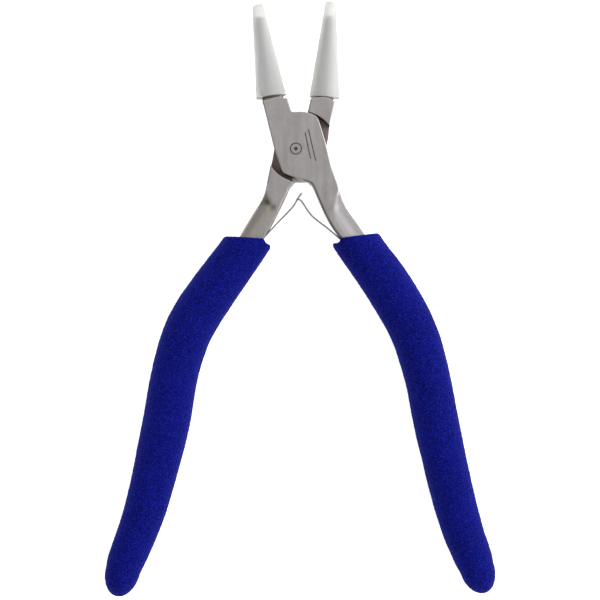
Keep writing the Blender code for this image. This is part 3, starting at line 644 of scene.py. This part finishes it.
# ---- leaf springs -----------------------------------------------------------------------
def leaf(name, line, thick, width, holes, tongue=None):
    """A strip of sheet steel on edge: line in the plan, width along z. holes are boxes of
    (first, last, half width) by length along the line; tongue is (from, half width)."""
    fine = curve_through(line, 14)
    seg = np.hypot(*np.diff(fine, axis=0).T)
    s = np.concatenate([[0], np.cumsum(seg)])
    total = s[-1]
    stations = np.arange(0, total, 0.18)
    marks = [total]
    for a, b, _ in holes:
        marks += [a, b]
    if tongue:
        marks.append(tongue[0])
    stations = np.array(sorted(set(np.round(np.concatenate([
        [q for q in stations if min(abs(q - m) for m in marks) > 0.07], marks]), 6))))
    px = np.interp(stations, s, fine[:, 0])
    py = np.interp(stations, s, fine[:, 1])
    tx = np.gradient(px)
    ty = np.gradient(py)
    d = np.hypot(tx, ty)
    nx, ny = -ty / d, tx / d
    half = width / 2
    cols = {0.0, half, half * 0.75, half * 0.4}
    for _, _, w in holes:
        cols.add(w)
    if tongue:
        cols.add(tongue[1])
    cols = sorted(cols)
    cols = [-c for c in cols[:0:-1]] + cols
    n, m = len(stations), len(cols)

    def present(i, j):
        sm = (stations[i] + stations[i + 1]) / 2
        wm = abs((cols[j] + cols[j + 1]) / 2)
        if tongue and sm > tongue[0] and wm > tongue[1]:
            return False
        return not any(a < sm < b and wm < w for a, b, w in holes)

    bm = bmesh.new()
    vs = {}

    def vert(i, j, side):
        k = (i, j, side)
        if k not in vs:
            off = side * thick / 2
            p = world([(px[i] + nx[i] * off, py[i] + ny[i] * off, cols[j])])[0]
            vs[k] = bm.verts.new(p)
        return vs[k]

    for i in range(n - 1):
        for j in range(m - 1):
            if not present(i, j):
                continue
            for side in (1, -1):
                q = [vert(i, j, side), vert(i + 1, j, side), vert(i + 1, j + 1, side),
                     vert(i, j + 1, side)]
                bm.faces.new(q if side > 0 else q[::-1])
            for (di, dj, e) in ((-1, 0, ((0, 0), (0, 1))), (1, 0, ((1, 0), (1, 1))),
                                (0, -1, ((0, 0), (1, 0))), (0, 1, ((0, 1), (1, 1)))):
                ii, jj = i + di, j + dj
                if 0 <= ii < n - 1 and 0 <= jj < m - 1 and present(ii, jj):
                    continue
                (a0, b0), (a1, b1) = e
                bm.faces.new([vert(i + a0, j + b0, 1), vert(i + a1, j + b1, 1),
                              vert(i + a1, j + b1, -1), vert(i + a0, j + b0, -1)])
    bmesh.ops.recalc_face_normals(bm, faces=bm.faces)
    sharp = [e for e in bm.edges if len(e.link_faces) == 2 and e.calc_face_angle(0) > 1.0]
    bmesh.ops.bevel(bm, geom=sharp, offset=0.06 * MM, segments=2, profile=0.5,
                    affect="EDGES", clamp_overlap=True)
    me = bpy.data.meshes.new(name)
    bm.to_mesh(me)
    bm.free()
    me.shade_smooth()
    me.set_sharp_from_angle(angle=math.radians(40))
    ob = bpy.data.objects.new(name, me)
    bpy.context.scene.collection.objects.link(ob)
    return ob, total


def line_length(line, upto):
    """Length along the smooth line to its point nearest to a place."""
    fine = curve_through(line, 14)
    i = int(np.argmin(np.hypot(fine[:, 0] - upto[0], fine[:, 1] - upto[1])))
    return float(np.hypot(*np.diff(fine[:i + 1], axis=0).T).sum())


CROSSING = (-0.6, -12.9)
cross_s = line_length(FRONT_LEAF, CROSSING)
hole_s = line_length(FRONT_LEAF, FRONT_RIVET_AT)
front_leaf, _ = leaf("front_leaf_steel", FRONT_LEAF, 0.3, 4.2,
                     [(hole_s - 0.9, hole_s + 0.9, 0.9)], (cross_s - 1.1, 0.85))
cross_b = line_length(BACK_LEAF, CROSSING)
hole_b = line_length(BACK_LEAF, BACK_RIVET_AT)
back_leaf, _ = leaf("back_leaf_steel", BACK_LEAF, 0.3, 4.2,
                    [(hole_b - 0.9, hole_b + 0.9, 0.9), (cross_b - 0.75, cross_b + 1.2, 1.2)])

# ---- a plain ornament etched in the front lap ------------------------------------------
def etched(name, outlines, z0, z1):
    verts, faces = [], []
    for outer, inner in outlines:
        n = len(outer)
        base = len(verts)
        if inner is None:
            verts += [(x, y, z1) for x, y in outer] + [(x, y, z0) for x, y in outer]
            faces.append(tuple(range(base, base + n)))
            faces.append(tuple(range(base + 2 * n - 1, base + n - 1, -1)))
            for i in range(n):
                j = (i + 1) % n
                faces.append((base + i, base + n + i, base + n + j, base + j))
        else:
            for z in (z1, z0):
                verts += [(x, y, z) for x, y in outer] + [(x, y, z) for x, y in inner]
            for i in range(n):
                j = (i + 1) % n
                o0, i0, o1, i1 = base, base + n, base + 2 * n, base + 3 * n
                faces.append((o0 + i, o0 + j, i0 + j, i0 + i))
                faces.append((o1 + j, o1 + i, i1 + i, i1 + j))
                faces.append((o0 + j, o0 + i, o1 + i, o1 + j))
                faces.append((i0 + i, i0 + j, i1 + j, i1 + i))
    ob = add_object(name, verts, faces, smooth=False)
    return ob


def ring_points(cx, cy, r, n=64):
    return [(cx + r * math.cos(2 * math.pi * k / n), cy + r * math.sin(2 * math.pi * k / n))
            for k in range(n)]


def bar_points(x0, y0, x1, y1, w, n=8):
    """A round-ended bar."""
    a = math.atan2(y1 - y0, x1 - x0)
    out = []
    for cx, cy, start in ((x1, y1, a - math.pi / 2), (x0, y0, a + math.pi / 2)):
        out += [(cx + w / 2 * math.cos(start + math.pi * k / n),
                 cy + w / 2 * math.sin(start + math.pi * k / n)) for k in range(n + 1)]
    return out


mark = etched("etched_ornament", [
    (ring_points(-1.0, -0.15, 1.55), ring_points(-1.0, -0.15, 1.27)),
    (ring_points(-1.0, -0.15, 0.62, 4), None),
    (bar_points(1.35, 3.9, 2.75, -2.6, 0.26), None),
    (bar_points(2.25, 4.7, 4.05, -3.2, 0.26), None)], HALF_T - 0.03, HALF_T + 0.006)

# ---- foam grips -------------------------------------------------------------------------
FRONT_GRIP = [
    (11.85, -19.3, 5.8), (14.9, -24.1, 5.9), (18.0, -28.45, 5.95), (20.3, -31.65, 6.05),
    (22.5, -34.75, 6.15), (24.5, -37.95, 6.2), (26.4, -41.1, 6.2), (28.1, -44.2, 6.15),
    (29.5, -47.3, 6.1), (30.75, -50.55, 6.1), (32.4, -56.2, 5.95), (33.7, -61.6, 5.9),
    (34.85, -67.8, 5.9), (36.1, -74, 5.85), (37.5, -80.2, 5.7), (38.95, -86.6, 5.65),
    (40.65, -93.2, 5.5), (42.5, -99.35, 5.3), (44.3, -104.1, 5.05), (45.35, -106.8, 4.85),
    (46.05, -108.8, 4.5)]
BACK_GRIP = [
    (10.55, -19.5, 5.7), (13.65, -24.3, 5.8), (16.8, -28.75, 5.9), (19.2, -32.05, 6.05),
    (21.5, -35.2, 6.15), (23.7, -38.35, 6.25), (25.8, -41.45, 6.3), (27.7, -44.6, 6.3),
    (29.25, -47.7, 6.25), (30.45, -50.95, 6.2), (32.0, -56.2, 6.1), (33.15, -61.6, 6.1),
    (34.15, -67.8, 6.15), (35.35, -74, 6.1), (36.8, -80.2, 5.9), (38.3, -86.6, 5.65),
    (40.1, -93.2, 5.45), (42.1, -99.1, 5.2), (44.0, -103.9, 5.0), (45.25, -107.0, 4.8),
    (46.0, -109.5, 4.5)]
GRIP_FLAT = 6.0 / 6.3                # the foam is a little lower than it is wide
END_STRETCH = 1.5
FRONT_MOUTH, BACK_MOUTH = ((19.55, -21.85), (8.2, -23.5)), ((-19.06, -22.6), (-7.6, -23.4))
FRONT_NOTCH, BACK_NOTCH = ((9.2, -22.95), 1.45), ((-7.4, -22.9), 1.9)


def grip(name, side, line, handle, leaf_line, mouth, notch, trim, seed):
    rows = handle_rows(handle)
    centre = curve_through(np.array([(side * x, y, r) for x, y, r in line]), 3)
    leaf_fine = curve_through(leaf_line, 4)
    (ox, oy), (ix, iy) = mouth
    mx, my = unit(ox - ix, oy - iy)
    up = (-my, mx) if mx > 0 else (my, -mx)          # out of the mouth, towards the jaws

    def fields(x, y):
        f = handle_fields(x, y, rows, side)
        pos, off, past = along_line(x, y, centre[:, :2])
        i = np.clip(pos.astype(int), 0, len(centre) - 2)
        w = pos - i
        f["gr"] = centre[i, 2] * (1 - w) + centre[i + 1, 2] * w
        f["go"] = off
        f["gp"] = np.where(pos > 1, past, 0)
        _, lo, lp = along_line(x, y, leaf_fine)
        f["ld"] = np.maximum(np.abs(lo), lp)
        f["m"] = (x - ix) * up[0] + (y - iy) * up[1]
        f["n"] = np.hypot(x - notch[0][0], y - notch[0][1]) - notch[1]
        return f

    def combine(f, z, x, y):
        tube = np.sqrt(f["go"] ** 2 + (z / GRIP_FLAT) ** 2
                       + (f["gp"] / END_STRETCH) ** 2) - f["gr"]
        body = round_max(tube, f["m"] + 0 * z, 0.4)
        corner = np.minimum(side * (trim[0] - x), y - trim[1])
        body = round_max(body, corner + 0 * z, 0.2)
        body = round_max(body, -f["n"] + 0 * z, 0.2)
        tang = handle_distance(f, z) - 0.1
        strip = np.maximum(f["ld"] - 0.32, np.abs(z) - 2.3)
        hole = smooth_min(tang, strip, 0.3)
        return round_max(body, -hole, 0.3)

    x0 = 6.5
    xs = np.arange(x0, 52.2, 0.27)
    if side < 0:
        xs = -xs[::-1]
    ys = np.arange(-117.4, -20.6, 0.27)
    zs = np.arange(-6.5, 6.51, 0.27) + 0.021
    P, Q = surface_net(name, fields, combine, xs, ys, zs, rounds=2)
    # the skin of the foam: slow unevenness and a fine open grain
    f = fields(P[:, 0], P[:, 1])
    outside = combine({**f}, P[:, 2], P[:, 0], P[:, 1])
    tube = np.sqrt(f["go"] ** 2 + (P[:, 2] / GRIP_FLAT) ** 2
                   + (f["gp"] / END_STRETCH) ** 2) - f["gr"]
    skin = np.clip(1 + tube / 1.5, 0, 1) ** 2
    from mathutils import noise
    lumps = np.array([noise.noise(Vector((p[0] * 0.22 + seed, p[1] * 0.22, p[2] * 0.22)))
                      for p in P])
    grain = np.array([noise.noise(Vector((p[0] * 1.15 + seed, p[1] * 1.15, p[2] * 1.15)))
                      for p in P])
    fine = np.array([noise.noise(Vector((p[0] * 2.3, p[1] * 2.3 + seed, p[2] * 2.3)))
                     for p in P])
    ob = add_object(name, P, Q)
    nrm = np.zeros(len(P) * 3, np.float32)
    ob.data.vertices.foreach_get("normal", nrm)
    nrm = nrm.reshape(-1, 3)
    lift = skin * (0.06 * lumps + 0.05 * grain + 0.08 * fine)
    Pn = P + nrm * lift[:, None]
    ob.data.vertices.foreach_set("co", world(Pn).astype(np.float32).ravel())
    ob.data.update()
    attribute(ob, "pore", np.clip(0.5 + 0.9 * grain + 0.6 * fine, 0, 1))
    attribute(ob, "skin", skin)
    return ob


front_grip = grip("front_grip_foam", 1, FRONT_GRIP, FRONT_HANDLE, FRONT_LEAF, FRONT_MOUTH,
                  FRONT_NOTCH, (8.66, -25.3), 3.1)
back_grip = grip("back_grip_foam", -1, BACK_GRIP, BACK_HANDLE, BACK_LEAF, BACK_MOUTH,
                 BACK_NOTCH, (-7.73, -25.7), 11.7)


# ---- materials --------------------------------------------------------------------------
class Nodes:
    """A short way to write a node tree."""

    def __init__(self, name):
        self.mat = bpy.data.materials.new(name)
        self.mat.use_nodes = True
        self.t = self.mat.node_tree
        self.shader = self.t.nodes["Principled BSDF"]
        coord = self.t.nodes.new("ShaderNodeTexCoord")
        self.place = coord.outputs["Object"]

    def set(self, **values):
        for k, v in values.items():
            s = self.shader.inputs[k.replace("_", " ")]
            if hasattr(v, "is_linked"):
                self.t.links.new(v, s)
            elif isinstance(v, tuple) and len(v) == 3 and s.type == "RGBA":
                s.default_value = (*v, 1)
            else:
                s.default_value = v

    def link(self, a, b):
        self.t.links.new(a, b)

    def noise(self, scale, detail=4.0, rough=0.55, stretch=None, turn=0.0, distort=0.0):
        vec = self.place
        if stretch or turn:
            m = self.t.nodes.new("ShaderNodeMapping")
            m.inputs["Scale"].default_value = stretch or (1, 1, 1)
            m.inputs["Rotation"].default_value = (0, 0, math.radians(turn))
            self.link(vec, m.inputs["Vector"])
            vec = m.outputs["Vector"]
        n = self.t.nodes.new("ShaderNodeTexNoise")
        n.inputs["Scale"].default_value = scale
        n.inputs["Detail"].default_value = detail
        n.inputs["Roughness"].default_value = rough
        n.inputs["Distortion"].default_value = distort
        self.link(vec, n.inputs["Vector"])
        return n.outputs["Fac"]

    def cells(self, scale, feature="F1"):
        n = self.t.nodes.new("ShaderNodeTexVoronoi")
        n.feature = feature
        n.inputs["Scale"].default_value = scale
        self.link(self.place, n.inputs["Vector"])
        return n.outputs["Distance"]

    def attr(self, name):
        n = self.t.nodes.new("ShaderNodeAttribute")
        n.attribute_name = name
        return n.outputs["Fac"]

    def ramp(self, value, stops, mode="LINEAR"):
        n = self.t.nodes.new("ShaderNodeValToRGB")
        n.color_ramp.interpolation = mode
        el = n.color_ramp.elements
        while len(el) < len(stops):
            el.new(0.5)
        for e, (p, c) in zip(el, stops):
            e.position = p
            e.color = (*c, 1) if isinstance(c, tuple) else (c, c, c, 1)
        self.link(value, n.inputs["Fac"])
        return n.outputs["Color"]

    def math(self, op, a, b=None, c=None, clamp=False):
        n = self.t.nodes.new("ShaderNodeMath")
        n.operation = op
        n.use_clamp = clamp
        for s, v in zip(n.inputs, (a, b, c)):
            if v is None:
                continue
            if hasattr(v, "is_linked"):
                self.link(v, s)
            else:
                s.default_value = v
        return n.outputs[0]

    def mix(self, fac, a, b, mode="MIX"):
        n = self.t.nodes.new("ShaderNodeMix")
        n.data_type = "RGBA"
        n.blend_type = mode
        for s, v in ((n.inputs[0], fac), (n.inputs[6], a), (n.inputs[7], b)):
            if hasattr(v, "is_linked"):
                self.link(v, s)
            elif isinstance(v, tuple):
                s.default_value = (*v, 1)
            else:
                s.default_value = v if s.type == "VALUE" else (v, v, v, 1)
        return n.outputs[2]

    def bump(self, height, strength, distance, under=None):
        n = self.t.nodes.new("ShaderNodeBump")
        n.inputs["Strength"].default_value = strength
        n.inputs["Distance"].default_value = distance
        self.link(height, n.inputs["Height"])
        if under is not None:
            self.link(under, n.inputs["Normal"])
        return n.outputs["Normal"]


def steel_lever(name, tang_colour, recess_colour, flat=(0.53, 0.50, 0.49)):
    n = Nodes(name)
    grain = n.noise(900, 5, 0.6, (1.0, 0.06, 1.0), 12)          # long fine grinding lines
    cross = n.noise(1500, 4, 0.6, (0.12, 1.0, 1.0), -35)        # a few crossing scratches
    blotch = n.noise(210, 5, 0.6)
    mottle = n.noise(900, 3, 0.6)
    tone = n.ramp(blotch, [(0.3, tuple(c * 0.93 for c in flat)), (0.5, flat),
                           (0.75, tuple(min(1, c * 1.07) for c in flat))])
    tone = n.mix(0.14, tone, n.ramp(grain, [(0.3, 0.2), (0.7, 0.62)]))
    tone = n.mix(0.05, tone, n.ramp(mottle, [(0.35, 0.15), (0.65, 0.7)]))
    # the turned-down tang is warmer, with the marks of the linishing belt
    belt = n.noise(1700, 4, 0.65, (1.0, 0.22, 1.0), 35)
    tang_tone = n.mix(n.ramp(belt, [(0.35, 0.0), (0.7, 0.42)]), tang_colour,
                      tuple(c * 0.62 for c in tang_colour))
    tone = n.mix(n.attr("tang"), tone, tang_tone)
    # dark brown film in the lap recess, and a bright line on the edges that is partly edge wear,
    # partly painted highlight
    film = n.ramp(n.noise(420, 5, 0.6), [(0.3, recess_colour),
                                        (0.62, tuple(c * 1.9 for c in recess_colour)),
                                        (0.8, tuple(c * 2.7 for c in recess_colour))])
    film = n.mix(n.math("MULTIPLY", n.attr("pale"), 0.7), film, (0.34, 0.31, 0.34))
    tone = n.mix(n.attr("recess"), tone, film)
    # lighten the edges: edge wear and painted highlight
    tone = n.mix(n.math("MULTIPLY", n.attr("wear_and_highlight"), 0.25), tone, (0.72, 0.70, 0.68))
    # darken the steel at the dark patches
    tone = n.mix(n.math("MULTIPLY", n.attr("dark_patch"), 0.85), tone, (0.07, 0.055, 0.05))
    # painted shade: darken the steel towards near black
    tone = n.mix(n.attr("painted_shade"), tone, (0.030, 0.026, 0.022))
    tone = n.mix(n.math("MULTIPLY", n.attr("core"), 0.9), tone, (0.50, 0.55, 0.80))
    rough = n.math("ADD", n.math("MULTIPLY", grain, 0.16), 0.27)
    rough = n.math("ADD", rough, n.math("MULTIPLY", n.attr("recess"), 0.2))
    rough = n.math("ADD", rough, n.math("MULTIPLY", n.attr("tang"), 0.12))
    rough = n.math("ADD", rough, n.math("MULTIPLY", mottle, 0.05), clamp=True)
    normal = n.bump(grain, 0.10, 0.00005)
    normal = n.bump(cross, 0.05, 0.00004, normal)
    normal = n.bump(belt, 0.05, 0.00004, normal)
    n.set(Base_Color=tone, Metallic=1.0, Roughness=rough, Normal=normal)
    return n.mat


def plain_steel(name, colour, low, high, stretch, turn):
    n = Nodes(name)
    grain = n.noise(1300, 5, 0.6, stretch, turn)
    spots = n.noise(500, 4, 0.6)
    tone = n.mix(n.ramp(spots, [(0.35, 0.0), (0.75, 0.5)]), colour,
                 tuple(c * 0.7 for c in colour))
    tone = n.mix(0.12, tone, n.ramp(grain, [(0.3, 0.12), (0.7, 0.7)]))
    rough = n.math("ADD", n.math("MULTIPLY", grain, high - low), low, clamp=True)
    n.set(Base_Color=tone, Metallic=1.0, Roughness=rough, Normal=n.bump(grain, 0.08, 0.00004))
    return n.mat


def nylon_material():
    n = Nodes("milky_nylon")
    cloud = n.noise(260, 4, 0.6)
    fine = n.noise(2200, 4, 0.6)
    tone = n.ramp(cloud, [(0.25, (0.81, 0.805, 0.785)), (0.7, (0.85, 0.842, 0.82))])
    rough = n.math("ADD", n.math("MULTIPLY", fine, 0.12), 0.42)
    n.set(Base_Color=tone, Roughness=rough, IOR=1.53, Transmission_Weight=0.56,
          Subsurface_Weight=0.25, Subsurface_Radius=(1.0, 1.0, 1.0), Subsurface_Scale=0.0009,
          Normal=n.bump(fine, 0.05, 0.00006))
    return n.mat


def foam_material():
    n = Nodes("blue_foam_skin")
    grit = n.noise(2900, 3, 0.7)
    fleck = n.noise(4600, 2, 0.6)
    mid = n.noise(900, 3, 0.6)
    slow = n.noise(120, 3, 0.5)
    tone = n.ramp(grit, [(0.30, (0.0008, 0.0014, 0.040)), (0.46, (0.0016, 0.0028, 0.135)),
                         (0.60, (0.0045, 0.0075, 0.28)), (0.76, (0.018, 0.026, 0.56))])
    tone = n.mix(n.ramp(fleck, [(0.52, 0.0), (0.70, 0.9)]), tone, (0.034, 0.048, 0.56))
    tone = n.mix(n.ramp(fleck, [(0.30, 0.9), (0.48, 0.0)]), tone, (0.0005, 0.0010, 0.028))
    tone = n.mix(n.math("MULTIPLY", n.ramp(mid, [(0.4, 0.0), (0.7, 1.0)]), 0.25), tone,
                 (0.0018, 0.0034, 0.13))
    tone = n.mix(n.math("MULTIPLY", n.ramp(slow, [(0.35, 0.0), (0.7, 1.0)]), 0.15), tone,
                 (0.006, 0.011, 0.33))
    dark = n.ramp(n.attr("pore"), [(0.05, 0.80), (0.45, 1.0)])
    tone = n.mix(1.0, tone, dark, "MULTIPLY")
    rough = n.math("ADD", n.math("MULTIPLY", grit, 0.25), 0.70, clamp=True)
    normal = n.bump(grit, 0.8, 0.0003)
    normal = n.bump(fleck, 0.6, 0.0002, normal)
    n.set(Base_Color=tone, Roughness=rough, Normal=normal, Sheen_Weight=0.36,
          Sheen_Roughness=0.32, Sheen_Tint=(0.16, 0.20, 1.0), Specular_IOR_Level=0.04)
    return n.mat


def etch_material():
    n = Nodes("etched_brown")
    grain = n.noise(2600, 4, 0.6)
    tone = n.ramp(grain, [(0.3, (0.022, 0.016, 0.012)), (0.7, (0.085, 0.065, 0.052))])
    rough = n.math("ADD", n.math("MULTIPLY", grain, 0.2), 0.6, clamp=True)
    n.set(Base_Color=tone, Metallic=0.2, Roughness=rough, Normal=n.bump(grain, 0.2, 0.00003))
    return n.mat


def paint(ob, mat):
    ob.data.materials.clear()
    ob.data.materials.append(mat)


# the front tang's tone is set darker and the back tang's lighter: painted shade and painted light
# that even out how the key light from the right falls on the two tangs
paint(front_lever, steel_lever("ground_steel_front", (0.362, 0.345, 0.351),
                               (0.155, 0.12, 0.105)))
paint(back_lever, steel_lever("ground_steel_back", (0.46, 0.42, 0.38),
                              (0.175, 0.138, 0.122)))
paint(rivet, plain_steel("rivet_steel_turned", (0.43, 0.42, 0.41), 0.24, 0.42, (1, 1, 0.1), 0))
pin_steel = plain_steel("spring_rivet_steel", (0.40, 0.38, 0.36), 0.26, 0.44, (1, 1, 0.2), 0)
paint(front_pin, pin_steel)
paint(back_pin, pin_steel)
leaf_steel = plain_steel("tempered_leaf_steel", (0.24, 0.212, 0.18), 0.25, 0.42,
                         (0.15, 1, 1), 40)
paint(front_leaf, leaf_steel)
paint(back_leaf, leaf_steel)
nylon = nylon_material()
paint(front_sleeve, nylon)
paint(back_sleeve, nylon)
paint(mark, etch_material())
foam = foam_material()
paint(front_grip, foam)
paint(back_grip, foam)

# ---- riding on the frame ----------------------------------------------------------------
for ob, body, slot, nodes in (
        (front_lever, "front_half", "lever_steel", ["front_lever"]),
        (back_lever, "back_half", "lever_steel", ["back_lever"]),
        (rivet, "front_half", "rivet_steel", ["pivot_rivet"]),
        (front_sleeve, "front_half", "nylon", ["front_jaw_sleeve"]),
        (back_sleeve, "back_half", "nylon", ["back_jaw_sleeve"]),
        (front_pin, "front_half", "rivet_steel", ["front_spring_rivet"]),
        (back_pin, "back_half", "rivet_steel", ["back_spring_rivet"]),
        (front_grip, "front_half", "foam", ["front_grip"]),
        (back_grip, "back_half", "foam", ["back_grip"])):
    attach(ob, body)
    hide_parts(*nodes)
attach(mark, "front_half")
for ob, half, spring, start, end, node in (
        (front_leaf, "front_half", "front_spring", (10.75, -23.6), (5.2, -18.9),
         "front_leaf_spring"),
        (back_leaf, "back_half", "back_spring", (-10.4, -24.2), (-5.4, -18.6),
         "back_leaf_spring")):
    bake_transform(ob)
    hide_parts(node)

# ---- floor, light, camera ---------------------------------------------------------------
bpy.ops.mesh.primitive_grid_add(x_subdivisions=8, y_subdivisions=8, size=3.0,
                                location=(0, 0, -0.0004))
floor = bpy.context.object
floor.name = "studio_floor"
fm = Nodes("white_sweep")
fm.set(Base_Color=(0.93, 0.93, 0.93), Roughness=0.75,
       Emission_Color=(1.0, 1.0, 1.0), Emission_Strength=0.8)
fm.shader.inputs["Specular IOR Level"].default_value = 0.1
paint(floor, fm.mat)

world_data = bpy.data.worlds.new("studio")
bpy.context.scene.world = world_data
world_data.use_nodes = True
wt = world_data.node_tree
sky = wt.nodes.new("ShaderNodeTexCoord")
split = wt.nodes.new("ShaderNodeSeparateXYZ")
wt.links.new(sky.outputs["Generated"], split.inputs["Vector"])
fade = wt.nodes.new("ShaderNodeMapRange")
fade.inputs["From Min"].default_value = -1.0
fade.inputs["From Max"].default_value = 1.0
fade.inputs["To Min"].default_value = 0.16
fade.inputs["To Max"].default_value = 0.80
wt.links.new(split.outputs["X"], fade.inputs["Value"])
wt.links.new(fade.outputs["Result"], wt.nodes["Background"].inputs["Strength"])
wt.nodes["Background"].inputs["Color"].default_value = (1, 1, 1, 1)


def softbox(name, at, aim, size, power, colour=(1, 1, 1)):
    la = bpy.data.lights.new(name, "AREA")
    la.shape = "RECTANGLE"
    la.size, la.size_y = size
    la.energy = power
    la.color = colour
    ob = bpy.data.objects.new(name, la)
    ob.location = at
    ob.rotation_mode = "QUATERNION"
    ob.rotation_quaternion = (Vector(aim) - Vector(at)).to_track_quat("-Z", "Y")
    bpy.context.scene.collection.objects.link(ob)
    return ob


softbox("key_right", (0.62, 0.08, 0.50), (0, 0, 0), (0.5, 0.8), 3.4)
softbox("fill_left", (-0.60, 0.10, 0.60), (0, 0, 0), (0.5, 0.8), 1.0)
softbox("top_end", (0.05, 0.70, 0.55), (0, 0, 0), (0.7, 0.4), 1.0)

cam = bpy.data.cameras.new("view_camera")
cam.lens = 36 * 415 / 156
cam.sensor_width = 36
cam.clip_start = 0.01
cam.clip_end = 20
camera = bpy.data.objects.new("view_camera", cam)
camera.location = (0.00005, 0.0001, 0.006 + 0.415)
bpy.context.scene.collection.objects.link(camera)
bpy.context.scene.camera = camera
bpy.context.scene.view_settings.view_transform = "Standard"
